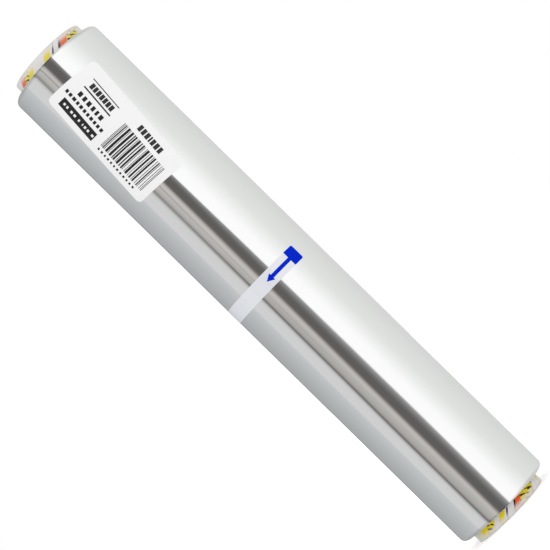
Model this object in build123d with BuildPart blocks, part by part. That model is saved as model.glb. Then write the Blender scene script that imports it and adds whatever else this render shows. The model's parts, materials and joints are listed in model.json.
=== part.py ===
from build123d import *
import os
from math import asin, cos, degrees, pi, radians, sin, sqrt

# Foil strip as it is sold: width across the roll, length wound on, gauge of the metal
foil_width = 290.0
foil_length = 100000.0
foil_gauge = 0.008

# Paperboard core: bore for a spindle, wall of glued plies, and how far it stands proud of the foil
core_bore_diameter = 38.0
core_wall = 1.0
core_overhang = 5.0
core_rim_chamfer = 0.2

# Winding: rounded shoulders, and the turns as one spiral, drawn coarser than the real foil
shoulder_radius = 2.5
turn_pitch = 0.3
turn_groove_depth = 0.12
free_edge_angle = 150.0

# Opening tape: from its pull tab over the front, then down over the free edge at the back
tape_width = 7.85
tape_thickness = 0.08
tape_past_edge = 14.0
tape_above_middle = 3.1
tab_end_angle = 309.5
tab_corner_radius = 0.8

# Paper label, stuck on a little askew below the upper end of the foil
label_length = 63.0
label_width = 30.0
label_thickness = 0.1
label_corner_radius = 2.5
label_middle_drop = 45.25
label_middle_angle = 263.5
label_lean = 5.0

# Sizes that follow: the winding is as thick as its strip's cross-section makes it
core_bore_radius = core_bore_diameter / 2
core_radius = core_bore_radius + core_wall
core_length = foil_width + 2 * core_overhang
winding_radius = sqrt(core_radius**2 + foil_length * foil_gauge / pi)
lower_end = core_overhang
upper_end = core_overhang + foil_width
turns_to_core = int((winding_radius - shoulder_radius - core_radius) / turn_pitch) + 2

# The spiral is drawn from two centres: the second half turn has its own centre and a smaller radius
half_turn = 180.0
centre_shift = turn_pitch / 2
under_radius = winding_radius - centre_shift
under_centre = Vector(-cos(radians(free_edge_angle)), -sin(radians(free_edge_angle)), 0) * centre_shift
under_axis = Axis(under_centre, (0, 0, 1))


def plane_around(angle, height):
    """Plane square to the roll's axis, with its X axis pointing out at an angle round the roll."""
    out = (cos(radians(angle)), sin(radians(angle)), 0)
    return Plane(origin=(0, 0, height), x_dir=out, z_dir=(0, 0, 1))


def end_face_points(outer_radius, end_height, inward):
    """Points of one end face from the shoulder in past the core: a ridge for each turn."""
    ridge = outer_radius - shoulder_radius
    points = [(ridge, end_height)]
    for turn in range(turns_to_core):
        points.append((ridge - turn_pitch / 2, end_height + inward * turn_groove_depth))
        ridge -= turn_pitch
        points.append((ridge, end_height))
    return points


def winding_section(centre, angle, outer_radius):
    """Section along the winding, on the plane that stands at an angle round the roll."""
    out = Vector(cos(radians(angle)), sin(radians(angle)), 0)
    shoulder_start = outer_radius - shoulder_radius
    with BuildSketch(Plane(origin=centre, x_dir=out, z_dir=out.cross(Vector(0, 0, 1)))) as section:
        with BuildLine():
            lower_face = Polyline(*end_face_points(outer_radius, lower_end, 1))
            upper_face = Polyline(*end_face_points(outer_radius, upper_end, -1))
            lower_shoulder = CenterArc(
                (shoulder_start, lower_end + shoulder_radius), shoulder_radius, 270, 90
            )
            upper_shoulder = CenterArc(
                (shoulder_start, upper_end - shoulder_radius), shoulder_radius, 0, 90
            )
            Line(lower_shoulder @ 1, upper_shoulder @ 0)
            Line(lower_face @ 1, upper_face @ 1)
        make_face()
    return section.sketch


# Core tube: a plain paperboard tube with eased rims
with BuildPart() as core_tube:
    with BuildSketch() as tube_section:
        Circle(core_radius)
        Circle(core_bore_radius, mode=Mode.SUBTRACT)
    extrude(amount=core_length)
    chamfer(core_tube.edges().filter_by(GeomType.CIRCLE), length=core_rim_chamfer)
core_tube.part.label = "core_tube"

# Foil winding: two half turns of a spiral, one solid, with its free edge where the second slips under
with BuildPart() as foil_winding:
    outer_section = winding_section((0, 0, 0), free_edge_angle, winding_radius)
    revolve(outer_section, axis=Axis.Z, revolution_arc=half_turn)
    under_section = winding_section(under_centre, free_edge_angle + half_turn, under_radius)
    revolve(under_section, axis=under_axis, revolution_arc=half_turn)
    with BuildSketch(Plane.XY.offset(lower_end)) as core_seat:
        Circle(core_radius)
    extrude(amount=foil_width, mode=Mode.SUBTRACT)
foil_winding.part.label = "foil_winding"

# Opening tape: a thin band on the outer turn, dressed down over the free edge on to the turn beneath
tape_low_edge = core_length / 2 + tape_above_middle - tape_width / 2
tape_outer_radius = winding_radius + tape_thickness
tape_under_radius = under_radius + tape_thickness
tape_front_span = tab_end_angle - free_edge_angle
tape_back_span = degrees(tape_past_edge / under_radius)
riser_front_angle = degrees(asin(tape_thickness / tape_outer_radius))
riser_back_angle = degrees(asin(tape_thickness / tape_under_radius))
with BuildPart() as opening_tape:
    with BuildSketch(plane_around(free_edge_angle, tape_low_edge)) as tape_section:
        with BuildLine() as tape_outline:
            front_inside = CenterArc((0, 0), winding_radius, 0, tape_front_span)
            front_outside = CenterArc(
                (0, 0), tape_outer_radius, -riser_front_angle, tape_front_span + riser_front_angle
            )
            back_inside = CenterArc((-centre_shift, 0), under_radius, 0, -tape_back_span)
            back_outside = CenterArc(
                (-centre_shift, 0), tape_under_radius, -riser_back_angle, riser_back_angle - tape_back_span
            )
            Line(front_inside @ 0, back_inside @ 0)
            Line(front_outside @ 0, back_outside @ 0)
            Line(front_inside @ 1, front_outside @ 1)
            Line(back_inside @ 1, back_outside @ 1)
        make_face()
    extrude(amount=tape_width)
    tab_out = plane_around(tab_end_angle, 0).x_dir
    tab_corners = opening_tape.edges().filter_by(Axis((0, 0, 0), tab_out))
    fillet(tab_corners, radius=tab_corner_radius)
opening_tape.part.label = "opening_tape"

# Paper label: a thin sheet that follows the foil, trimmed square to its middle with rounded corners
label_reach = winding_radius + label_thickness
label_chord = 2 * winding_radius * sin(label_width / 2 / winding_radius)
label_plane = plane_around(label_middle_angle, upper_end - label_middle_drop)
label_front = Plane(origin=label_plane.origin, x_dir=label_plane.y_dir, z_dir=label_plane.x_dir)
with BuildPart() as paper_label:
    with BuildSketch(Plane.XY.offset(lower_end)) as sheet_section:
        Circle(label_reach)
        Circle(winding_radius, mode=Mode.SUBTRACT)
    extrude(amount=foil_width)
    with BuildSketch(label_front) as label_blank:
        RectangleRounded(label_chord, label_length, label_corner_radius, rotation=-label_lean)
    extrude(amount=label_reach, mode=Mode.INTERSECT)
paper_label.part.label = "paper_label"

os.makedirs("parts", exist_ok=True)
export_step(core_tube.part, "parts/core_tube.step")
export_step(foil_winding.part, "parts/foil_winding.step")
export_step(opening_tape.part, "parts/opening_tape.step")
export_step(paper_label.part, "parts/paper_label.step")
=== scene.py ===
import json
from math import cos, pi, radians, sin

import bmesh
import bpy
from bpy.props import FloatProperty, FloatVectorProperty, IntProperty, PointerProperty
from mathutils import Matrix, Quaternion, Vector


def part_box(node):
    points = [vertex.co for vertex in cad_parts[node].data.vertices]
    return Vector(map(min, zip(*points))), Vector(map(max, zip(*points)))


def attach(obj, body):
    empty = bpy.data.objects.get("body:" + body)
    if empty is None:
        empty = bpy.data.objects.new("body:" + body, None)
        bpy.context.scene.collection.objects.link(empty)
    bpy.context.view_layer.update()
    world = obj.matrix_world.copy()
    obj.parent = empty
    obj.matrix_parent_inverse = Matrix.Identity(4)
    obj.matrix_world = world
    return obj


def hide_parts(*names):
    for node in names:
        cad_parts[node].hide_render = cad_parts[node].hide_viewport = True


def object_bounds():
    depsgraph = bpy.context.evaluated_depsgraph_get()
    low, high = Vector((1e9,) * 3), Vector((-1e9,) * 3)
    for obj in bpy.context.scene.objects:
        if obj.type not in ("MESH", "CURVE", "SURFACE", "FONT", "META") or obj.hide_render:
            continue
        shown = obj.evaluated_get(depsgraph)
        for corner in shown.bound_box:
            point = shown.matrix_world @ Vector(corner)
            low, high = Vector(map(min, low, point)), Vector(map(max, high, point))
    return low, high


bl_info = {
    "name": "Foil Roll",
    "version": (1, 0, 0),
    "blender": (4, 5, 0),
    "location": "View3D > Sidebar > Foil Roll",
    "description": "Dresses the solids of a roll of kitchen foil: foil, core, tape, label and studio",
    "category": "Object",
}

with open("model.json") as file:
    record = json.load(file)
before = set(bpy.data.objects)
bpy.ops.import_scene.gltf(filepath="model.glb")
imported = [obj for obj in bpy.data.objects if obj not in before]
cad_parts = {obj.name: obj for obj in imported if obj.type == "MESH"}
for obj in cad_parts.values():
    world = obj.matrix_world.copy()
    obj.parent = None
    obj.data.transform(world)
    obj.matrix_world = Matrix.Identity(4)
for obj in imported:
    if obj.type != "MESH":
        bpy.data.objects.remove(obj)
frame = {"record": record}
cad_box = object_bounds()
foil_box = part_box("foil_winding")
core_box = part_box("core_tube")
tape_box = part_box("opening_tape")
label_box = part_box("paper_label")
mounts = {mount["name"]: mount["dims"] for mount in frame["record"]["mounts"]}

ORIGIN = Vector((0.0, 0.0, 0.0))
ACROSS = Vector((1.0, 0.0, 0.0))
FRONT = Vector((0.0, -1.0, 0.0))
UP = Vector((0.0, 0.0, 1.0))
MM = 0.001
QUARTER_TURN = radians(90.0)

# Points nearer than this are merged: the first where the foil is pressed on to the core, the second elsewhere
SEATED_DISTANCE = 0.00001
MERGE_DISTANCE = 0.000002

# A cut takes points nearer than this as lying on it
CUT_DISTANCE = 0.0000001

# Ranges that a value is often spread over
RISING = (0.0, 1.0)
FALLING = (1.0, 0.0)


def a_length(name, description, default):
    """Setting for a size in metres."""
    return FloatProperty(name=name, description=description, default=default, unit="LENGTH")


def an_angle(name, description, degrees):
    """Setting for an angle, given in degrees."""
    return FloatProperty(name=name, description=description, default=radians(degrees), subtype="ANGLE")


def a_count(name, description, default, least):
    """Setting for a whole number."""
    return IntProperty(name=name, description=description, default=default, min=least)


def a_strength(name, description, default, unit="NONE"):
    """Setting for a strength or a power of light."""
    return FloatProperty(name=name, description=description, default=default, min=0.0, unit=unit)


def a_colour(name, description, *default):
    """Setting for a colour, given as linear red, green and blue."""
    return FloatVectorProperty(name=name, description=description, default=default, size=3, subtype="COLOR")


def a_place(name, description, *default):
    """Setting for a place in the room."""
    return FloatVectorProperty(name=name, description=description, default=default, subtype="TRANSLATION")


class FoilSettings(bpy.types.PropertyGroup):
    """Sizes and finish of the wound foil."""

    radius: a_length("Radius", "Radius of the outer turn", 0.025556)
    low_end: a_length("Low end", "Height of the lower end face", foil_box[0].z)
    high_end: a_length("High end", "Height of the upper end face", foil_box[1].z)
    shoulder: a_length("Shoulder", "Rounding of the winding's ends", 0.0025)
    pitch: a_length("Turn pitch", "Radial step of one drawn turn", 0.0003)
    groove: a_length("Turn groove", "Depth between two turns on the end faces", 0.00012)
    free_edge: an_angle("Free edge", "Where the foil ends, from +X towards +Y", 150.0)
    steps: a_count("Steps", "Spin steps in each half turn", 144, 24)
    metal: a_colour("Metal", "Colour of the bright metal", 0.915, 0.917, 0.92)


class CoreSettings(bpy.types.PropertyGroup):
    """Sizes and colours of the paperboard core."""

    radius: a_length("Radius", "Outside radius of the tube", 0.02)
    bore: a_length("Bore", "Inside radius of the tube", mounts["core_bore"]["r_mm"] * MM)
    length: a_length("Length", "Length of the tube", core_box[1].z)
    plies: a_count("Plies", "Layers of paper that show on the cut rims", 3, 1)
    steps: a_count("Steps", "Spin steps in the full turn", 192, 24)
    paper: a_colour("Paper", "Bare ground of the printed paper", 0.82, 0.80, 0.795)
    board: a_colour("Board", "Grey board inside the tube", 0.52, 0.47, 0.41)
    yellow: a_colour("Yellow", "Yellow fields of the print", 0.87, 0.70, 0.01)
    red: a_colour("Red", "Red fields of the print", 0.84, 0.13, 0.02)


class TapeSettings(bpy.types.PropertyGroup):
    """Sizes and colours of the opening tape."""

    width: a_length("Width", "Width along the roll", tape_box[1].z - tape_box[0].z)
    middle: a_length("Middle", "Height of the tape's middle line", (tape_box[0].z + tape_box[1].z) / 2)
    thickness: a_length("Thickness", "Thickness of the film", 0.000078)
    tab_end: an_angle("Tab end", "Free end of the tab, from -Y towards +X", 39.5)
    tab_start: an_angle("Tab start", "Where the tab's ink begins, from -Y towards +X", 26.2)
    arrow_neck: an_angle("Arrow neck", "Where the arrow's head begins", 0.5)
    arrow_tip: an_angle("Arrow tip", "Where the arrow ends", -7.4)
    shaft: a_length("Arrow shaft", "Width of the arrow's shaft", 0.0019)
    head: a_length("Arrow head", "Width of the arrow's head", 0.0040)
    arrow_drop: a_length("Arrow drop", "How far the arrow lies below the tape's middle line", 0.0001)
    past_edge: a_length("Past edge", "How far it runs past the foil's free edge", 0.014)
    corner: a_length("Corner", "Rounding of the tab's corners", 0.0008)
    film: a_colour("Film", "Colour of the white film", 0.79, 0.81, 0.86)
    ink: a_colour("Ink", "Colour of the tab and arrow", 0.0005, 0.021, 0.60)


class LabelSettings(bpy.types.PropertyGroup):
    """Sizes and colours of the paper label."""

    length: a_length("Length", "Length along the roll", 0.063)
    width: a_length("Width", "Width round the roll", 0.030)
    thickness: a_length("Thickness", "Thickness of the paper", 0.000096)
    corner: a_length("Corner", "Rounding of the corners", 0.0025)
    middle: a_length("Middle", "Height of the label's middle", (label_box[0].z + label_box[1].z) / 2)
    around: an_angle("Around", "Place of the middle, from -Y towards +X", -6.5)
    lean: an_angle("Lean", "How far it is stuck on askew, clockwise", 5.0)
    paper: a_colour("Paper", "Colour of the label paper", 0.92, 0.92, 0.92)
    ink: a_colour("Ink", "Colour of the printed marks", 0.012, 0.011, 0.011)


class StudioSettings(bpy.types.PropertyGroup):
    """Camera, light, floor and cards."""

    camera_place: a_place("Camera place", "Where the camera stands", 0.0, -1.07612, 0.11408)
    camera_aim: a_place("Camera aim", "Point that the camera looks at", 0.00156, 0.0, 0.15342)
    camera_roll: an_angle("Camera roll", "How far the camera leans to the right", 45.605)
    sensor: FloatProperty(name="Sensor", description="Width of the sensor", default=36.0, unit="CAMERA")
    lens: FloatProperty(name="Lens", description="Focal length", default=152.515, unit="CAMERA")
    ambient: a_strength("Ambient", "Strength of the light from all sides", 0.94)
    key: a_strength("Key", "Power of the large soft lamp in front", 3.6, "POWER")
    key_place: a_place("Key place", "Where the soft lamp hangs", 0.1, -1.6, 0.35)
    key_side: a_length("Key side", "Side of the square soft lamp", 1.1)
    floor: a_colour("Floor", "Colour of the floor", 0.80, 0.80, 0.80)
    floor_side: a_length("Floor side", "Side of the square floor", 8.0)
    floor_lift: a_strength("Floor lift", "Light that the floor adds where it is seen", 0.42)
    cards_radius: a_length("Cards radius", "How far from the roll the cards stand", 3.0)


class FoilRollSettings(bpy.types.PropertyGroup):
    """All settings of the roll."""

    foil: PointerProperty(type=FoilSettings)
    core: PointerProperty(type=CoreSettings)
    tape: PointerProperty(type=TapeSettings)
    label: PointerProperty(type=LabelSettings)
    studio: PointerProperty(type=StudioSettings)


def settings():
    """The roll's settings in this scene."""
    return bpy.context.scene.foil_roll


def direction(angle):
    """Unit vector square to the roll's axis at an angle from +X towards +Y."""
    return Vector((cos(angle), sin(angle), 0.0))


def from_axis(place):
    """Distance of a place from the roll's axis."""
    return place.to_2d().length


def middle(face):
    """Middle of a face."""
    return face.calc_center_median()


def lay_down():
    """Leaves edit mode and lets go of everything."""
    active = bpy.context.active_object
    if active is not None and active.mode != "OBJECT":
        bpy.ops.object.mode_set(mode="OBJECT")
    bpy.ops.object.select_all(action="DESELECT")


def named(name):
    """Names the object that was just added and what it holds, and returns it."""
    added = bpy.context.active_object
    added.name = name
    added.data.name = name
    return added


def edit_all():
    """Enters edit mode with every point selected."""
    bpy.ops.object.mode_set(mode="EDIT")
    bpy.ops.mesh.select_mode(type="VERT")
    bpy.ops.mesh.select_all(action="SELECT")


def draw(step):
    """Extrudes what is selected by one step."""
    bpy.ops.mesh.extrude_region_move(TRANSFORM_OT_translate={"value": step})


def draw_chain(chain, out):
    """Extrudes the selected point along a chain of distances from the axis and heights."""
    for (radius, height), (next_radius, next_height) in zip(chain, chain[1:]):
        draw(out * (next_radius - radius) + UP * (next_height - height))


def start_chain(name, chain, out):
    """Starts a piece in edit mode: a plane merged to one point at the start of a chain, drawn along it."""
    lay_down()
    bpy.ops.mesh.primitive_plane_add(size=0.01)
    piece = named(name)
    edit_all()
    bpy.ops.mesh.merge(type="CENTER")
    radius, height = chain[0]
    bpy.ops.transform.translate(value=out * radius + UP * height)
    draw_chain(chain, out)
    return piece


def start_sheet(name, left, right, low, high):
    """Starts a piece in edit mode: an upright flat sheet at y = 0 that faces -Y."""
    lay_down()
    bpy.ops.mesh.primitive_plane_add(size=1.0, rotation=(QUARTER_TURN, 0.0, 0.0))
    piece = named(name)
    bpy.ops.object.transform_apply(location=True, rotation=True, scale=True)
    edit_all()
    bpy.ops.transform.resize(value=(right - left, 1.0, high - low), center_override=ORIGIN)
    bpy.ops.transform.translate(value=((left + right) / 2, 0.0, (low + high) / 2))
    return piece


def pick(piece, kind, test):
    """Selects the points or faces of a piece in edit mode that pass a test."""
    bpy.ops.mesh.select_mode(type=kind)
    bpy.ops.mesh.select_all(action="DESELECT")
    shape = bmesh.from_edit_mesh(piece.data)
    items = shape.verts if kind == "VERT" else shape.faces
    for item in items:
        item.select = test(item)
    shape.select_flush_mode()
    bmesh.update_edit_mesh(piece.data, loop_triangles=False, destructive=False)


def everywhere(face):
    """Test that every face passes."""
    return True


def cut(piece, place, facing, test):
    """Cuts the faces that pass a test along a flat plane."""
    pick(piece, "FACE", test)
    bpy.ops.mesh.bisect(plane_co=place, plane_no=facing.normalized(), threshold=CUT_DISTANCE)


def cut_columns(piece, left, right, steps):
    """Cuts a sheet into upright columns of one width, so that it can bend."""
    for step in range(steps + 1):
        cut(piece, ACROSS * (left + (right - left) * step / steps), ACROSS, everywhere)


def dress(piece, *materials):
    """Gives a piece its materials, one slot each."""
    for material in materials:
        piece.data.materials.append(material)


def paint(piece, index, test):
    """Gives the faces that pass a test the material of one slot."""
    bpy.ops.object.mode_set(mode="EDIT")
    pick(piece, "FACE", test)
    piece.active_material_index = index
    bpy.ops.object.material_slot_assign()


def close_up():
    """Merges doubles, points all faces outwards and leaves edit mode."""
    edit_all()
    bpy.ops.mesh.remove_doubles(threshold=MERGE_DISTANCE)
    bpy.ops.mesh.normals_make_consistent(inside=False)
    bpy.ops.object.mode_set(mode="OBJECT")


def apply_modifier(piece, kind, **values):
    """Adds a modifier with its values and applies it."""
    bpy.ops.object.mode_set(mode="OBJECT")
    made = piece.modifiers.new(kind.lower(), kind)
    for key, value in values.items():
        setattr(made, key, value)
    bpy.ops.object.modifier_apply(modifier=made.name)


def wrap_round(piece, radius, thickness):
    """Gives a flat sheet its thickness and bends it round the roll: x becomes length of arc from -Y."""
    apply_modifier(piece, "SOLIDIFY", thickness=thickness, offset=1.0, use_even_offset=False)
    xs = [point.co.x for point in piece.data.vertices]
    arc = (max(xs) - min(xs)) / radius
    apply_modifier(piece, "SIMPLE_DEFORM", deform_method="BEND", deform_axis="Z", angle=arc)
    piece.location = FRONT * radius
    bpy.ops.object.transform_apply(location=True, rotation=True, scale=True)


def seat(piece, node, crease):
    """Shades a finished piece, hides its solid and lets it ride on the roll."""
    bpy.ops.object.mode_set(mode="OBJECT")
    bpy.ops.object.shade_smooth_by_angle(angle=crease)
    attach(piece, "root")
    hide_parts(node)


def feed(tree, socket, value):
    """Links a socket to another, or sets its value."""
    if isinstance(value, bpy.types.NodeSocket):
        tree.links.new(value, socket)
    else:
        socket.default_value = value


def put(tree, kind, inputs=None, **values):
    """Adds a node, sets its own values and feeds its inputs by name or number."""
    made = tree.nodes.new("ShaderNode" + kind)
    for key, value in values.items():
        setattr(made, key, value)
    for key, value in (inputs or {}).items():
        feed(tree, made.inputs[key], value)
    return made


def calc(tree, operation, *values):
    """Adds a Math node and returns its result."""
    return put(tree, "Math", dict(enumerate(values)), operation=operation).outputs[0]


def apart(tree, first, second):
    """How far two values lie apart."""
    return calc(tree, "ABSOLUTE", calc(tree, "SUBTRACT", first, second))


def blend_colour(tree, amount, first, second):
    """Mixes two colours, which are inputs 6 and 7 of a Mix node, and returns the result."""
    return put(tree, "Mix", {"Factor": amount, 6: first, 7: second}, data_type="RGBA").outputs[2]


def shade(tree, colour, amount):
    """Multiplies a colour by a value."""
    return put(tree, "VectorMath", {0: colour, "Scale": amount}, operation="SCALE").outputs["Vector"]


def spread(tree, value, source, target):
    """Maps a value from one range to another, clamped."""
    ranges = {"From Min": source[0], "From Max": source[1], "To Min": target[0], "To Max": target[1]}
    return put(tree, "MapRange", {"Value": value, **ranges}).outputs["Result"]


def noise(tree, place, scale, detail, roughness=0.5):
    """Adds a noise texture and returns its value."""
    inputs = {"Vector": place, "Scale": scale, "Detail": detail, "Roughness": roughness}
    return put(tree, "TexNoise", inputs).outputs["Fac"]


def noise_along(tree, value, detail):
    """Adds a noise texture that changes along one value only, and returns its value."""
    return put(tree, "TexNoise", {"W": value, "Detail": detail}, noise_dimensions="1D").outputs["Fac"]


def bumps(tree, height, strength, distance):
    """Adds a Bump node and returns its normal."""
    inputs = {"Strength": strength, "Distance": distance, "Height": height}
    return put(tree, "Bump", inputs).outputs["Normal"]


def fields(tree, place, stops, interpolation):
    """Adds a colour ramp with its stops, each a place and a colour with alpha, and returns its outputs."""
    made = put(tree, "ValToRGB", {"Fac": place})
    ramp = made.color_ramp
    ramp.interpolation = interpolation
    while len(ramp.elements) < len(stops):
        ramp.elements.new(1.0)
    for element, (where, colour) in zip(ramp.elements, stops):
        element.position = where
        element.color = colour
    return made.outputs


def share_of_turn(degrees):
    """Degrees from -Y towards +X as a share of a turn, with 0.5 at -Y."""
    return (degrees + 180) / 360


def new_group(name, values, results):
    """Starts a shader node group with a Place, its named values and its named results."""
    tree = bpy.data.node_groups.new(name, "ShaderNodeTree")
    tree.interface.new_socket("Place", in_out="INPUT", socket_type="NodeSocketVector")
    for socket, default in values.items():
        made = tree.interface.new_socket(socket, in_out="INPUT", socket_type="NodeSocketFloat")
        made.default_value = default
    for socket in results:
        tree.interface.new_socket(socket, in_out="OUTPUT", socket_type="NodeSocketFloat")
    return tree, tree.nodes.new("NodeGroupInput").outputs, tree.nodes.new("NodeGroupOutput").inputs


def use_group(tree, build, inputs):
    """Places a node group, built on its first use, feeds it and returns its outputs."""
    name = build.__name__.replace("_", " ")
    group = bpy.data.node_groups.get(name) or build(name)
    return put(tree, "Group", inputs, node_tree=group).outputs


def place_round_roll(name):
    """Group: a point's share of a turn round the roll, with 0.5 at -Y, its height and its radius."""
    tree, start, end = new_group(name, {}, ("Turn", "Height", "Radius"))
    x, y, z = put(tree, "SeparateXYZ", {"Vector": start["Place"]}).outputs
    turn = calc(tree, "ARCTAN2", x, calc(tree, "MULTIPLY", y, -1.0))
    feed(tree, end["Turn"], calc(tree, "MULTIPLY_ADD", turn, 0.5 / pi, 0.5))
    feed(tree, end["Height"], z)
    squares = calc(tree, "MULTIPLY_ADD", y, y, calc(tree, "MULTIPLY", x, x))
    feed(tree, end["Radius"], calc(tree, "SQRT", squares))
    return tree


def paper_fibre(name):
    """Group: fibre of paper and board, as a shade about 1 and a height for bumps."""
    tree, start, end = new_group(name, {"Fineness": 1500.0, "Contrast": 0.1}, ("Shade", "Height"))
    fibre = noise(tree, start["Place"], scale=start["Fineness"], detail=4.0, roughness=0.6)
    cloud = noise(tree, start["Place"], scale=90.0, detail=2.0)
    centred = calc(tree, "SUBTRACT", calc(tree, "ADD", fibre, cloud), 1.0)
    feed(tree, end["Shade"], calc(tree, "MULTIPLY_ADD", centred, start["Contrast"], 1.0))
    feed(tree, end["Height"], fibre)
    return tree


def handled_film(name):
    """Group: slow unevenness of thin film and foil, as a patch value and a height for bumps."""
    tree, start, end = new_group(name, {"Across": 90.0, "Along": 14.0}, ("Patch", "Height"))
    scale = put(tree, "CombineXYZ", {"X": start["Across"], "Y": start["Across"], "Z": start["Along"]})
    stretched = put(tree, "VectorMath", {0: start["Place"], 1: scale.outputs["Vector"]}, operation="MULTIPLY")
    feed(tree, end["Patch"], noise(tree, start["Place"], scale=55.0, detail=3.0))
    feed(tree, end["Height"], noise(tree, stretched.outputs["Vector"], scale=1.0, detail=1.5))
    return tree


def clear_nodes(owner):
    """Gives a material or a world an empty node tree, and returns it."""
    owner.use_nodes = True
    owner.node_tree.nodes.clear()
    return owner.node_tree


def start_material(name, values):
    """Starts a material: returns it, its nodes, its Principled shader's inputs and Object coordinates."""
    made = bpy.data.materials.new(name)
    tree = clear_nodes(made)
    surface = put(tree, "BsdfPrincipled", values)
    put(tree, "OutputMaterial", {"Surface": surface.outputs["BSDF"]})
    return made, tree, surface.inputs, put(tree, "TexCoord").outputs["Object"]


def foil_metal():
    """Bright side of the foil: mirror metal with faint rolling lines round the roll and slow waves."""
    metal = (*settings().foil.metal, 1.0)
    made, tree, surface, place = start_material("foil_bright", {"Base Color": metal, "Metallic": 1.0})
    film = use_group(tree, handled_film, {"Place": place, "Across": 70.0, "Along": 9.0})
    feed(tree, surface["Roughness"], spread(tree, film["Patch"], (0.3, 0.7), (0.05, 0.085)))
    squeezed = put(tree, "Mapping", {"Vector": place, "Scale": (45.0, 45.0, 2600.0)})
    rolled = noise(tree, squeezed.outputs["Vector"], scale=1.0, detail=3.0)
    waves = bumps(tree, film["Height"], strength=0.5, distance=0.0002)
    lines = put(tree, "Bump", {"Strength": 0.35, "Distance": 0.00001, "Height": rolled, "Normal": waves})
    feed(tree, surface["Normal"], lines.outputs["Normal"])
    return made


def foil_layers():
    """Cut edges of the turns on the end faces: duller metal in fine rings."""
    made, tree, surface, place = start_material("foil_layers", {"Metallic": 0.45})
    spot = use_group(tree, place_round_roll, {"Place": place})
    rings = noise_along(tree, calc(tree, "MULTIPLY", spot["Radius"], 16000.0), detail=2.0)
    tone = spread(tree, rings, (0.3, 0.7), RISING)
    metal = blend_colour(tree, tone, (0.50, 0.50, 0.505, 1.0), (0.86, 0.86, 0.865, 1.0))
    feed(tree, surface["Base Color"], metal)
    feed(tree, surface["Roughness"], spread(tree, tone, RISING, (0.45, 0.28)))
    feed(tree, surface["Normal"], bumps(tree, rings, strength=0.5, distance=0.00003))
    return made


def along_helix(tree, spot, climb, start):
    """Share of a turn along a helix that climbs by so many turns for each metre of height."""
    turned = calc(tree, "MULTIPLY_ADD", spot["Height"], climb, start)
    return calc(tree, "FRACT", calc(tree, "ADD", spot["Turn"], turned))


# Ragged strokes that cross the hatched fields of the core's print, and the share of each that is inked
STROKES_PER_METRE = 417.0
STROKES_PER_TURN = 25.0
STROKE_SHARE = 0.46
DASHES_PER_TURN = 44.0
DASH_SHARE = 0.68

# Fields of the core's print: degrees from the front where each one starts, and its ink
PRINT_BLACK = (0.02, 0.018, 0.016)
PRINT_LEFT = (
    (-180, "pale"), (-162, "hatched"), (-148, "pale"), (-138, "black"), (-134, "pale"), (-121, "red"),
    (-112, "hatched"),
)
PRINT_FRONT_LOW = (
    (-90, "pale"), (-72, "cream"), (-57, "yellow"), (-43, "hatched"), (-29, "pale"), (-19, "yellow"),
    (-9, "pale"), (-7, "black"), (-3, "pale"), (8, "black"), (11, "red"), (20, "hatched"), (48, "pale"),
    (67, "yellow"), (73, "pale"),
)
PRINT_FRONT_HIGH = (
    (-90, "pale"), (-62, "red"), (-50, "hatched"), (-38, "yellow"), (-27, "pale"), (-6, "yellow"),
    (5, "pale"), (9, "black"), (12, "pale"), (20, "black"), (25, "red"), (37, "hatched"), (62, "pale"),
)
PRINT_RIGHT = (
    (90, "pale"), (97, "cream"), (106, "hatched"), (121, "pale"), (131, "black"), (135, "pale"),
    (149, "red"), (158, "yellow"), (174, "pale"),
)


def print_strokes(tree, place, spot):
    """Mask of short ragged strokes, the way they cross the hatched fields."""
    ragged = noise(tree, place, scale=420.0, detail=1.0)
    across = calc(tree, "MULTIPLY", spot["Turn"], STROKES_PER_TURN)
    slanted = calc(tree, "MULTIPLY_ADD", spot["Height"], STROKES_PER_METRE, across)
    wavy = calc(tree, "FRACT", calc(tree, "MULTIPLY_ADD", ragged, 0.9, slanted))
    shifted = calc(tree, "MULTIPLY", ragged, 2.2)
    along = calc(tree, "MULTIPLY_ADD", spot["Turn"], DASHES_PER_TURN, shifted)
    stroke = calc(tree, "LESS_THAN", wavy, STROKE_SHARE)
    dash = calc(tree, "LESS_THAN", calc(tree, "FRACT", along), DASH_SHARE)
    return calc(tree, "MULTIPLY", stroke, dash)


def print_fields(tree, slanted, front):
    """Fields of the print at one end of the core. The alpha of an ink tells whether strokes cross it."""
    core = settings().core
    inks = {
        "pale": (*core.paper, 0.0),
        "cream": (0.80, 0.74, 0.52, 0.0),
        "yellow": (*core.yellow, 0.0),
        "hatched": (*core.yellow, 1.0),
        "red": (*core.red, 0.0),
        "black": (*PRINT_BLACK, 0.0),
    }
    stops = [(share_of_turn(where), inks[ink]) for where, ink in PRINT_LEFT + front + PRINT_RIGHT]
    return fields(tree, slanted, stops, "CONSTANT")


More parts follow.
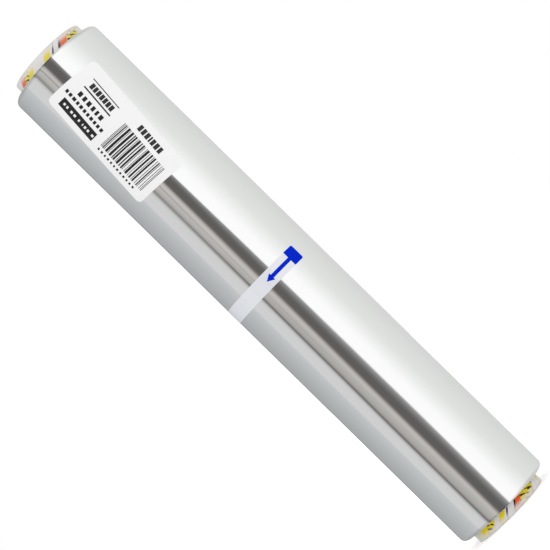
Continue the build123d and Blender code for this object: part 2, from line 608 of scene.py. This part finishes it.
def core_print():
    """Outside of the core: pale paper with slanted fields of yellow, red and black, worn towards the rims,
    with painted light at the lower end and painted shade at the upper end.
    """
    core = settings().core
    finish = {"Roughness": 0.5, "Specular IOR Level": 0.15}
    made, tree, surface, place = start_material("core_print", finish)
    spot = use_group(tree, place_round_roll, {"Place": place})
    height = spot["Height"]
    slanted = along_helix(tree, spot, climb=-6.807, start=4.0211)
    low = print_fields(tree, slanted, PRINT_FRONT_LOW)
    high = print_fields(tree, slanted, PRINT_FRONT_HIGH)
    upper = calc(tree, "GREATER_THAN", height, core.length / 2)
    blocks = blend_colour(tree, upper, low["Color"], high["Color"])
    crossed = put(tree, "Mix", {"Factor": upper, "A": low["Alpha"], "B": high["Alpha"]}).outputs["Result"]
    hatch = calc(tree, "MULTIPLY", print_strokes(tree, place, spot), crossed)
    inked = blend_colour(tree, hatch, blocks, (*PRINT_BLACK, 1.0))

    to_rim = calc(tree, "MINIMUM", height, calc(tree, "SUBTRACT", core.length, height))
    worn = spread(tree, to_rim, (0.0012, 0.0031), (0.84, 0.0))
    fade = calc(tree, "MAXIMUM", worn, calc(tree, "MULTIPLY", upper, 0.12))
    faded = blend_colour(tree, fade, inked, (*core.paper, 1.0))
    seam = calc(tree, "LESS_THAN", apart(tree, slanted, 0.635), 0.0016)
    joined = blend_colour(tree, calc(tree, "MULTIPLY", seam, 0.6), faded, (0.25, 0.22, 0.19, 1.0))
    fibre = use_group(tree, paper_fibre, {"Place": place, "Fineness": 1800.0, "Contrast": 0.12})
    # Painted light and shade: the paper is painted lighter towards the lower end and darker towards the upper
    # end
    painted_end_shade = spread(tree, height, (0.0, core.length), (1.08, 0.95))
    tone = calc(tree, "MULTIPLY", fibre["Shade"], painted_end_shade)
    feed(tree, surface["Base Color"], shade(tree, joined, tone))
    feed(tree, surface["Normal"], bumps(tree, fibre["Height"], strength=0.3, distance=0.00005))
    return made


def core_board():
    """Inside of the core: grey board with the helical joint of its plies."""
    made, tree, surface, place = start_material("core_board", {"Roughness": 0.8})
    spot = use_group(tree, place_round_roll, {"Place": place})
    along = along_helix(tree, spot, climb=-8.4, start=4.2)
    seam = calc(tree, "LESS_THAN", apart(tree, along, 0.5), 0.003)
    joint = blend_colour(tree, seam, (*settings().core.board, 1.0), (0.16, 0.13, 0.10, 1.0))
    fibre = use_group(tree, paper_fibre, {"Place": place, "Fineness": 1100.0, "Contrast": 0.35})
    feed(tree, surface["Base Color"], shade(tree, joint, fibre["Shade"]))
    ply = spread(tree, along, RISING, (0.0, 0.4))
    height = calc(tree, "ADD", calc(tree, "MULTIPLY", fibre["Height"], 0.4), ply)
    feed(tree, surface["Normal"], bumps(tree, height, strength=0.5, distance=0.0001))
    return made


def core_cut():
    """Cut rims of the core: pale board with the plies showing as darker rings."""
    core = settings().core
    made, tree, surface, place = start_material("core_cut", {"Roughness": 0.85})
    spot = use_group(tree, place_round_roll, {"Place": place})
    depth = calc(tree, "SUBTRACT", spot["Radius"], core.bore)
    plies = calc(tree, "FRACT", calc(tree, "MULTIPLY", depth, core.plies / (core.radius - core.bore)))
    glue = spread(tree, apart(tree, plies, 0.5), (0.36, 0.47), RISING)
    tone = blend_colour(tree, glue, (0.80, 0.785, 0.76, 1.0), (0.60, 0.57, 0.53, 1.0))
    fibre = use_group(tree, paper_fibre, {"Place": place, "Fineness": 2400.0, "Contrast": 0.3})
    feed(tree, surface["Base Color"], shade(tree, tone, fibre["Shade"]))
    feed(tree, surface["Normal"], bumps(tree, fibre["Height"], strength=0.6, distance=0.0001))
    return made


def tape_finish(name, colour, roughness, gloss):
    """Film of the tape, bare or inked: satin, with slow unevenness."""
    made, tree, surface, place = start_material(name, {"Specular IOR Level": gloss})
    film = use_group(tree, handled_film, {"Place": place, "Across": 160.0, "Along": 160.0})
    tone = spread(tree, film["Patch"], (0.25, 0.75), (0.975, 1.02))
    feed(tree, surface["Base Color"], shade(tree, colour, tone))
    uneven = (roughness - 0.05, roughness + 0.05)
    feed(tree, surface["Roughness"], spread(tree, film["Height"], (0.3, 0.7), uneven))
    feed(tree, surface["Normal"], bumps(tree, film["Height"], strength=0.25, distance=0.0001))
    return made


def label_finish(name, colour, roughness):
    """Paper of the label, bare or inked: smooth, with fine fibre."""
    made, tree, surface, place = start_material(name, {"Roughness": roughness})
    fibre = use_group(tree, paper_fibre, {"Place": place, "Fineness": 2600.0, "Contrast": 0.015})
    feed(tree, surface["Base Color"], shade(tree, colour, fibre["Shade"]))
    feed(tree, surface["Normal"], bumps(tree, fibre["Height"], strength=0.06, distance=0.00004))
    return made


class FOILROLL_OT_wind_foil(bpy.types.Operator):
    """Winds the foil: one section spun in two half turns from two centres, so that it is a true spiral"""

    bl_idname = "foil_roll.wind_foil"
    bl_label = "Wind Foil"

    def execute(self, context):
        foil = settings().foil
        core_radius = settings().core.radius
        out = direction(foil.free_edge)
        piece = self.draw_section(foil, core_radius, out)
        for centre in (ORIGIN, out * (-foil.pitch / 2)):
            bpy.ops.mesh.spin(steps=foil.steps, angle=-pi, center=centre, axis=UP)
        bpy.ops.mesh.select_all(action="SELECT")
        bpy.ops.mesh.remove_doubles(threshold=MERGE_DISTANCE)
        self.fit_to_core(piece, core_radius)
        self.close_free_edge()
        dress(piece, foil_metal(), foil_layers())
        close_up()
        layers_reach = foil.radius - foil.shoulder - foil.pitch * 0.1
        paint(piece, 1, lambda face: from_axis(middle(face)) < layers_reach)
        seat(piece, "foil_winding", crease=radians(32.0))
        return {"FINISHED"}

    @staticmethod
    def draw_section(foil, core_radius, out):
        """Draws the winding's section at the free edge: a ridge for each turn, and rounded shoulders."""
        ridge = foil.radius - foil.shoulder
        turns = int((ridge - core_radius) / foil.pitch) - 1
        end_face = []
        for turn in range(turns):
            end_face.append((ridge - turn * foil.pitch, 0.0))
            end_face.append((ridge - (turn + 0.5) * foil.pitch, foil.groove))
        end_face.append((ridge - turns * foil.pitch, 0.0))
        end_face.append((core_radius - 2 * foil.pitch, foil.groove / 2))
        lower = [(radius, foil.low_end + depth) for radius, depth in reversed(end_face)]
        upper = [(radius, foil.high_end - depth) for radius, depth in end_face]

        def round_shoulder(height):
            centre = out * ridge + UP * height
            bpy.ops.mesh.spin(steps=10, angle=QUARTER_TURN, center=centre, axis=UP.cross(out))

        piece = start_chain("foil_winding_skin", lower, out)
        round_shoulder(foil.low_end + foil.shoulder)
        draw(UP * (foil.high_end - foil.low_end - 2 * foil.shoulder))
        round_shoulder(foil.high_end - foil.shoulder)
        draw_chain(upper, out)
        pick(piece, "VERT", lambda point: from_axis(point.co) < core_radius - foil.pitch)
        bpy.ops.mesh.edge_face_add()
        bpy.ops.mesh.select_all(action="SELECT")
        return piece

    @staticmethod
    def fit_to_core(piece, core_radius):
        """Rounds the inside of the spiral to the core, so that it touches it all the way round."""
        bpy.ops.object.mode_set(mode="OBJECT")
        inside = [point.index for point in piece.data.vertices if from_axis(point.co) < core_radius]
        group = piece.vertex_groups.new(name="on core")
        group.add(inside, 1.0, "REPLACE")
        apply_modifier(
            piece,
            "CAST",
            cast_type="CYLINDER",
            use_z=False,
            factor=1.0,
            size=core_radius,
            use_radius_as_size=False,
            vertex_group=group.name,
        )
        piece.vertex_groups.clear()
        edit_all()
        bpy.ops.mesh.remove_doubles(threshold=SEATED_DISTANCE)

    @staticmethod
    def close_free_edge():
        """Fills the step where the outer turn ends."""
        bpy.ops.mesh.select_mode(type="EDGE")
        bpy.ops.mesh.select_all(action="DESELECT")
        bpy.ops.mesh.select_non_manifold(
            use_wire=False, use_boundary=True, use_multi_face=False, use_non_contiguous=False, use_verts=False
        )
        bpy.ops.mesh.fill()


class FOILROLL_OT_roll_core(bpy.types.Operator):
    """Rolls the paperboard core: a tube whose cut rims show its plies"""

    bl_idname = "foil_roll.roll_core"
    bl_label = "Roll Core"

    def execute(self, context):
        core = settings().core
        ply = (core.radius - core.bore) / core.plies
        rim = self.rim_section(core, ply)
        chain = rim + [(radius, core.length - height) for radius, height in reversed(rim)]
        piece = start_chain("core_tube_skin", chain, FRONT)
        pick(piece, "VERT", lambda point: abs(from_axis(point.co) - core.bore) < MERGE_DISTANCE)
        bpy.ops.mesh.edge_face_add()
        bpy.ops.mesh.select_all(action="SELECT")
        bpy.ops.mesh.spin(steps=core.steps, angle=2 * pi, center=ORIGIN, axis=UP)
        close_up()
        dress(piece, core_print(), core_board(), core_cut())

        half = core.length / 2

        def on_rim(face):
            return abs(middle(face).z - half) > half - ply

        def in_bore(face):
            return from_axis(middle(face)) < core.bore + ply * 0.1 and not on_rim(face)

        paint(piece, 1, in_bore)
        paint(piece, 2, on_rim)
        seat(piece, "core_tube", crease=radians(30.0))
        return {"FINISHED"}

    @staticmethod
    def rim_section(core, ply):
        """Lower rim as distances from the axis and heights: the plies are eased and end unevenly."""
        ease = ply * 0.2
        ends = (0.06 * ply, 0.0, 0.03 * ply)
        rim = [(core.bore, ply * 0.9)]
        for number in range(core.plies):
            inside = core.bore + number * ply
            end = ends[number % len(ends)]
            rim.append((inside + ease * 0.4, end + ease))
            rim.append((inside + ease * 1.4, end))
            rim.append((inside + ply - ease * 1.4, end))
            rim.append((inside + ply - ease * 0.4, end + ease))
        rim.append((core.radius, ply * 0.9))
        return rim


class FOILROLL_OT_stick_tape(bpy.types.Operator):
    """Sticks on the opening tape: a strip with its tab and arrow printed, dressed down over the free edge"""

    bl_idname = "foil_roll.stick_tape"
    bl_label = "Stick Tape"

    def execute(self, context):
        tape = settings().tape
        foil = settings().foil
        half = tape.width / 2
        left = foil.radius * (foil.free_edge - 3 * QUARTER_TURN)
        right = foil.radius * tape.tab_end
        piece = start_sheet("opening_tape_skin", left, right, tape.middle - half, tape.middle + half)
        film = tape_finish("tape_film", tape.film, roughness=0.24, gloss=1.0)
        ink = tape_finish("tape_ink", tape.ink, roughness=0.36, gloss=0.02)
        dress(piece, film, ink)
        pick(piece, "VERT", lambda point: point.co.x > right - 0.1 * MM)
        bpy.ops.mesh.bevel(offset=tape.corner, offset_type="OFFSET", segments=6, affect="VERTICES")
        self.print_arrow(piece, tape, foil.radius, left, right)
        wrap_round(piece, foil.radius, tape.thickness)
        self.dress_down(piece, tape, foil)
        close_up()
        seat(piece, "opening_tape", crease=radians(40.0))
        return {"FINISHED"}

    @staticmethod
    def print_arrow(piece, tape, radius, left, right):
        """Cuts the tab and the arrow into the flat strip, then its columns, and inks them."""
        tab = radius * tape.tab_start
        neck = radius * tape.arrow_neck
        tip = radius * tape.arrow_tip
        line = tape.middle - tape.arrow_drop
        for x in (tab, neck, tip):
            cut(piece, ACROSS * x, ACROSS, everywhere)
        for side in (-1.0, 1.0):
            shaft_edge = UP * (line + side * tape.shaft / 2)
            cut(piece, shaft_edge, UP, lambda face: neck < middle(face).x < tab)
            slope = Vector((tape.head / 2, 0.0, -side * (neck - tip)))
            cut(piece, ACROSS * tip + UP * line, slope, lambda face: tip < middle(face).x < neck)
        cut_columns(piece, left, right, steps=112)

        def inked(face):
            place = middle(face)
            off = abs(place.z - line)
            if place.x > tab:
                return True
            if place.x > neck:
                return off < tape.shaft / 2
            return place.x > tip and off < tape.head / 2 * (place.x - tip) / (neck - tip)

        paint(piece, 1, inked)

    @staticmethod
    def dress_down(piece, tape, foil):
        """Draws the bent strip's end on, over the foil's free edge and along the turn beneath."""
        edge = direction(foil.free_edge)
        behind = edge.cross(UP)
        under_radius = foil.radius - foil.pitch / 2
        under_centre = edge * (-foil.pitch / 2)
        riser = 0.4 * MM / under_radius
        bpy.ops.object.mode_set(mode="EDIT")
        pick(
            piece,
            "FACE",
            lambda face: face.normal.dot(behind) > 0.9 and middle(face).dot(edge) > foil.radius * 0.9,
        )
        draw(under_centre + direction(foil.free_edge - riser) * under_radius - edge * foil.radius)
        span = tape.past_edge / under_radius - riser
        bpy.ops.mesh.spin(steps=20, angle=span, center=under_centre, axis=UP)


def marks(first, sizes, gap):
    """Marks down the label in mm from its middle, with a gap between them. A size of 0 leaves a wider gap."""
    made = []
    for size in sizes:
        if size > 0.0:
            made.append((first, first + size))
        first += size + gap
    return made


# Widths of the bars and of the bare lines between them, in mm
BAR_WIDTHS = (
    0.3, 0.3, 0.3, 0.3, 0.6, 0.3, 0.3, 0.6, 1.2, 0.3, 0.3, 0.6, 1.2, 0.6, 0.6, 0.3, 0.9, 0.6, 0.3, 0.3, 1.2,
    0.6, 0.6, 0.6, 0.9, 0.3, 0.3, 0.9, 0.3, 0.3, 1.2, 0.6, 0.3, 0.6, 0.9, 0.6, 0.3, 0.3, 0.9, 0.9, 0.3, 0.6,
    0.6, 0.3, 0.3, 0.9, 0.3, 0.6, 0.3, 0.3, 0.3,
)

# Lengths of the bare marks in the inked block, in mm
BARE_LENGTHS = (1.1, 1.0, 0.0, 1.2, 1.3, 0.0, 0.9, 0.0, 0.5, 1.1, 1.1, 0.0, 1.3)

# Rows of plain marks on the label, in mm from its middle: left and right of the row, its marks, if inked
LABEL_ROWS = (
    (-11.75, -7.05, [(-26.9, -4.3)], True),
    (-10.0, -8.8, marks(-25.2, BARE_LENGTHS, 0.9), False),
    (-5.2, -3.5, marks(-29.0, (1.5, 1.6, 1.9, 1.4, 1.7, 1.5, 1.4, 1.7, 1.4, 1.5, 1.6), 0.8), True),
    (-1.9, 0.5, marks(-24.1, (2.0, 1.8, 2.0, 1.7, 1.4, 2.0), 1.05), True),
    (2.6, 3.3, [(-24.8, -6.8)], True),
    (4.3, 7.2, marks(-23.2, (1.9, 1.7, 1.9, 1.8, 1.7, 1.8, 1.9), 0.4), True),
    (8.2, 8.7, [(-24.8, -6.8)], True),
    (8.4, 11.6, marks(5.4, (1.9, 1.8, 1.9, 0.9, 1.8, 1.9, 1.8), 0.55), True),
    (-9.4, 6.2, marks(0.1, BAR_WIDTHS, 0.0)[::2], True),
    (-11.9, -10.7, marks(0.2, (1.0, 1.1, 0.9, 1.1, 1.0, 0.9, 1.1, 1.0, 1.1, 0.9, 1.0, 1.1), 1.1), True),
)


class FOILROLL_OT_stick_label(bpy.types.Operator):
    """Sticks on the paper label: a sheet with rounded corners and plain printed marks, a little askew"""

    bl_idname = "foil_roll.stick_label"
    bl_label = "Stick Label"

    def execute(self, context):
        label = settings().label
        radius = settings().foil.radius
        half_width = label.width / 2
        half_length = label.length / 2
        piece = start_sheet("paper_label_skin", -half_width, half_width, -half_length, half_length)
        paper = label_finish("label_paper", label.paper, roughness=0.5)
        ink = label_finish("label_ink", label.ink, roughness=0.45)
        dress(piece, paper, ink)
        bpy.ops.mesh.bevel(offset=label.corner, offset_type="OFFSET", segments=8, affect="VERTICES")
        for row in LABEL_ROWS:
            self.print_row(piece, *row)

        bpy.ops.mesh.select_all(action="SELECT")
        bpy.ops.transform.rotate(value=-label.lean, orient_axis="Y", center_override=ORIGIN)
        across = radius * label.around
        bpy.ops.transform.translate(value=(across, 0.0, label.middle))
        reach = label.width * 0.65
        cut_columns(piece, across - reach, across + reach, steps=36)
        wrap_round(piece, radius, label.thickness)
        close_up()
        seat(piece, "paper_label", crease=radians(40.0))
        return {"FINISHED"}

    @staticmethod
    def print_row(piece, low, high, row, inked):
        """Cuts a row of marks into the flat sheet and paints it."""
        left, right = low * MM, high * MM
        top, bottom = -row[0][0] * MM, -row[-1][1] * MM

        def meets_row(face):
            xs = [corner.co.x for corner in face.verts]
            zs = [corner.co.z for corner in face.verts]
            return max(xs) > left and min(xs) < right and max(zs) > bottom and min(zs) < top

        def in_mark(face):
            place = middle(face)
            return left < place.x < right and any(start < -place.z / MM < end for start, end in row)

        for x in (left, right):
            cut(piece, ACROSS * x, ACROSS, meets_row)
        for mark in row:
            for down in mark:
                cut(piece, UP * (-down * MM), UP, meets_row)
        paint(piece, 1 if inked else 0, in_mark)


# Tints of the studio cards
PLAIN = (1.0, 1.0, 1.0)
COOL = (0.965, 1.0, 1.01)
WARM = (1.0, 0.965, 0.92)
DUSK = (1.0, 0.945, 0.90)
GREEN = (0.985, 1.0, 0.98)

# Cards that stand round the roll, from the left of its back to the right: degrees from the front, tone, tint
CARDS = (
    # dark flag behind, and the cool wall on the left
    (-167, 0.15, PLAIN), (-159, 0.42, COOL), (-135, 0.445, COOL), (-100, 0.53, COOL), (-80, 0.605, COOL),
    # white card on the left, and the gap beside it
    (-76, 0.69, PLAIN), (-58, 0.675, PLAIN), (-54, 0.60, PLAIN), (-49.5, 0.29, PLAIN),
    # warm strip
    (-47, 0.29, WARM), (-43.5, 0.405, WARM), (-40, 0.445, WARM), (-32, 0.50, WARM), (-27, 0.57, WARM),
    (-24, 0.515, WARM),
    # dark flag round the camera
    (-20.5, 0.28, DUSK), (-18, 0.15, DUSK), (-16, 0.126, DUSK), (-6, 0.124, DUSK), (-2, 0.148, WARM),
    (2, 0.20, PLAIN), (6, 0.28, PLAIN), (8.2, 0.35, PLAIN), (9.2, 0.47, PLAIN),
    # large white card on the right, and the wall that it fades into
    (11.4, 1.01, PLAIN), (12.6, 1.07, PLAIN), (34, 1.06, PLAIN), (56, 0.93, GREEN), (75, 0.83, GREEN),
    (140, 0.73, GREEN), (170, 0.70, PLAIN),
    # dark flag behind
    (176, 0.15, PLAIN),
)


class FOILROLL_OT_set_studio(bpy.types.Operator):
    """Sets up the pale floor, the soft light, the cards that the foil mirrors, and the camera"""

    bl_idname = "foil_roll.set_studio"
    bl_label = "Set Studio"

    def execute(self, context):
        studio = settings().studio
        scene = bpy.context.scene
        scene.view_settings.view_transform = "Standard"
        self.light_world(scene, studio)
        self.lay_floor(studio)
        self.stand_cards(studio)
        self.hang_lamp(studio)
        scene.camera = self.set_camera(studio)
        lay_down()
        return {"FINISHED"}

    def lay_floor(self, studio):
        """Lays the pale floor."""
        lay_down()
        bpy.ops.mesh.primitive_plane_add(size=studio.floor_side)
        floor = named("floor")
        dress(floor, self.floor_material(studio))
        floor.visible_glossy = False

    def stand_cards(self, studio):
        """Stands the cards round the roll, as a dome that only mirror reflections see."""
        lay_down()
        bpy.ops.mesh.primitive_uv_sphere_add(segments=96, ring_count=48, radius=studio.cards_radius)
        cards = named("studio_cards")
        dress(cards, self.card_material())
        cards.visible_camera = False
        cards.visible_diffuse = False
        cards.visible_transmission = False
        cards.visible_shadow = False

    @staticmethod
    def hang_lamp(studio):
        """Hangs the large soft lamp in front, aimed at the middle of the roll."""
        lay_down()
        bpy.ops.object.light_add(type="AREA", location=studio.key_place)
        key = named("key_lamp")
        key.data.shape = "RECTANGLE"
        key.data.size = studio.key_side
        key.data.size_y = studio.key_side
        key.data.energy = studio.key
        aim = UP * (cad_box[1].z / 2) - key.location
        key.rotation_euler = aim.to_track_quat("-Z", "Y").to_euler()
        key.visible_glossy = False

    @staticmethod
    def set_camera(studio):
        """Sets up the camera, leaning, and returns it."""
        lay_down()
        bpy.ops.object.camera_add(location=studio.camera_place)
        camera = named("camera")
        aim = Vector(studio.camera_aim) - camera.location
        turn = aim.to_track_quat("-Z", "Y") @ Quaternion(UP, -studio.camera_roll)
        camera.rotation_euler = turn.to_euler()
        camera.data.lens = studio.lens
        camera.data.sensor_width = studio.sensor
        camera.data.clip_start = 0.01
        return camera

    @staticmethod
    def seen_directly(tree):
        """1 for camera, glossy and transmission rays."""
        path = put(tree, "LightPath").outputs
        mirrored = calc(tree, "MAXIMUM", path["Is Camera Ray"], path["Is Glossy Ray"])
        return calc(tree, "MAXIMUM", mirrored, path["Is Transmission Ray"])

    def light_world(self, scene, studio):
        """White surround, at full strength only where it is seen or mirrored."""
        scene.world = bpy.data.worlds.new("studio")
        tree = clear_nodes(scene.world)
        strength = spread(tree, self.seen_directly(tree), RISING, (studio.ambient, 1.0))
        glow = put(tree, "Background", {"Color": (*PLAIN, 1.0), "Strength": strength})
        put(tree, "OutputWorld", {"Surface": glow.outputs["Background"]})

    def floor_material(self, studio):
        """Pale floor that reads white and keeps the roll's shadow."""
        made = bpy.data.materials.new("floor_paper")
        tree = clear_nodes(made)
        matt = put(tree, "BsdfDiffuse", {"Color": (*studio.floor, 1.0)})
        strength = calc(tree, "MULTIPLY", self.seen_directly(tree), studio.floor_lift)
        lift = put(tree, "Emission", {"Color": (*PLAIN, 1.0), "Strength": strength})
        both = put(tree, "AddShader", {0: matt.outputs["BSDF"], 1: lift.outputs["Emission"]})
        put(tree, "OutputMaterial", {"Surface": both.outputs["Shader"]})
        return made

    def card_material(self):
        """Light of the cards and flags, whose bands run on overhead."""
        made = bpy.data.materials.new("studio_cards")
        tree = clear_nodes(made)
        place = put(tree, "TexCoord").outputs["Object"]
        spot = use_group(tree, place_round_roll, {"Place": place})
        level = calc(tree, "MULTIPLY_ADD", spot["Turn"], 360.0, -180.0)
        sideways = calc(tree, "ABSOLUTE", level)
        steep = calc(tree, "ABSOLUTE", spot["Height"])
        angle = self.card_angle(tree, place, level, sideways, steep)
        rise = spread(tree, spot["Height"], (-0.26, 0.76), RISING)
        fanned = self.fan_out(tree, angle, spot["Height"], rise)

        share = calc(tree, "MULTIPLY_ADD", fanned, 1.0 / 360.0, 0.5)
        stops = []
        for where, tone, tint in CARDS:
            stops.append((share_of_turn(where), (*(tone * part for part in tint), 1.0)))
        tones = fields(tree, share, stops, "LINEAR")["Color"]
        lined = shade(tree, tones, self.card_lines(tree, angle, fanned, rise))
        streak = noise_along(tree, calc(tree, "MULTIPLY", fanned, 0.42), detail=4.0)
        streaked = shade(tree, lined, spread(tree, streak, (0.2, 0.8), (0.94, 1.045)))
        high = spread(tree, steep, (0.9, 2.4), (0.0, 0.3))
        dim = calc(tree, "MULTIPLY", high, spread(tree, sideways, (40.0, 100.0), RISING))
        dimmed = shade(tree, streaked, calc(tree, "SUBTRACT", 1.0, dim))
        glow = put(tree, "Emission", {"Color": dimmed, "Strength": 1.0})
        put(tree, "OutputMaterial", {"Surface": glow.outputs["Emission"]})
        return made

    @staticmethod
    def card_angle(tree, place, level, sideways, steep):
        """Degrees from the front: twice the turn of the foil that mirrors a card forwards, level behind."""
        facing = put(tree, "VectorMath", {0: place}, operation="NORMALIZE")
        parts = put(tree, "SeparateXYZ", {"Vector": facing.outputs["Vector"]}).outputs
        half = calc(tree, "ARCTAN2", parts["X"], calc(tree, "SUBTRACT", 1.0, parts["Y"]))
        mirrored = calc(tree, "MULTIPLY", half, 360.0 / pi)
        behind = spread(tree, sideways, (120.0, 150.0), RISING)
        settled = calc(tree, "MULTIPLY", behind, spread(tree, steep, (1.0, 1.8), FALLING))
        return calc(tree, "MULTIPLY_ADD", calc(tree, "SUBTRACT", level, mirrored), settled, mirrored)

    @staticmethod
    def fan_out(tree, angle, height, rise):
        """Shifts the cards' edges with height, so that the bands fan out and one edge turns crisp."""
        late = calc(tree, "POWER", spread(tree, height, (0.06, 0.76), RISING), 1.2)
        card_start = spread(tree, angle, (-6.0, 3.0), (0.0, 4.7))
        card_end = spread(tree, angle, (18.0, 50.0), FALLING)
        right = calc(tree, "MULTIPLY", card_start, card_end)
        near = spread(tree, angle, (-20.0, -4.0), (-3.9, 0.0))
        far = spread(tree, angle, (-48.0, -20.0), (-1.1, 0.0))
        left_end = spread(tree, angle, (-75.0, -55.0), RISING)
        left = calc(tree, "MULTIPLY", calc(tree, "ADD", near, far), left_end)
        fan = calc(tree, "MULTIPLY_ADD", late, right, calc(tree, "MULTIPLY", rise, left))
        swept = calc(tree, "ADD", angle, fan)
        crisp = calc(tree, "MULTIPLY", late, spread(tree, angle, (-10.0, 0.0), RISING))
        push = spread(tree, swept, (8.1, 11.3), (-4.6, 4.6))
        return calc(tree, "MULTIPLY_ADD", crisp, push, swept)

    @staticmethod
    def card_lines(tree, angle, fanned, rise):
        """Shade about 1: dark lines beside and across the warm strip, and the strip's lighter top."""
        off_edge = apart(tree, fanned, -48.2)
        edge_depth = spread(tree, rise, (0.55, 0.75), (0.42, 0.05))
        edge = calc(tree, "MULTIPLY", spread(tree, off_edge, (0.4, 3.0), FALLING), edge_depth)
        off_climb = apart(tree, fanned, calc(tree, "MULTIPLY_ADD", rise, 4.0, -36.0))
        low_depth = spread(tree, rise, (0.15, 0.7), (0.0, 0.23))
        high_depth = spread(tree, rise, (0.7, 1.0), (0.0, 0.27))
        climb_depth = calc(tree, "ADD", low_depth, high_depth)
        climbing = calc(tree, "MULTIPLY", spread(tree, off_climb, (0.3, 2.2), FALLING), climb_depth)
        strip_start = spread(tree, angle, (-44.0, -41.0), RISING)
        strip = calc(tree, "MULTIPLY", strip_start, spread(tree, angle, (-28.0, -22.0), FALLING))
        lift = calc(tree, "MULTIPLY", strip, spread(tree, rise, (0.4, 0.65), (0.0, 0.13)))
        return calc(tree, "SUBTRACT", calc(tree, "ADD", lift, 1.0), calc(tree, "ADD", edge, climbing))


class FOILROLL_PT_sidebar(bpy.types.Panel):
    """Lists the steps of the roll"""

    bl_idname = "FOILROLL_PT_sidebar"
    bl_label = "Foil Roll"
    bl_space_type = "VIEW_3D"
    bl_region_type = "UI"
    bl_category = "Foil Roll"

    def draw(self, context):
        for step in STEPS:
            self.layout.operator(step.bl_idname)


STEPS = (
    FOILROLL_OT_wind_foil,
    FOILROLL_OT_roll_core,
    FOILROLL_OT_stick_tape,
    FOILROLL_OT_stick_label,
    FOILROLL_OT_set_studio,
)
GROUPS = (FoilSettings, CoreSettings, TapeSettings, LabelSettings, StudioSettings, FoilRollSettings)
CLASSES = GROUPS + STEPS + (FOILROLL_PT_sidebar,)


def register():
    for item in CLASSES:
        bpy.utils.register_class(item)
    bpy.types.Scene.foil_roll = PointerProperty(type=FoilRollSettings)


def unregister():
    del bpy.types.Scene.foil_roll
    for item in reversed(CLASSES):
        bpy.utils.unregister_class(item)


def main():
    register()
    bpy.ops.foil_roll.wind_foil()
    bpy.ops.foil_roll.roll_core()
    bpy.ops.foil_roll.stick_tape()
    bpy.ops.foil_roll.stick_label()
    bpy.ops.foil_roll.set_studio()


if __name__ == "__main__":
    main()
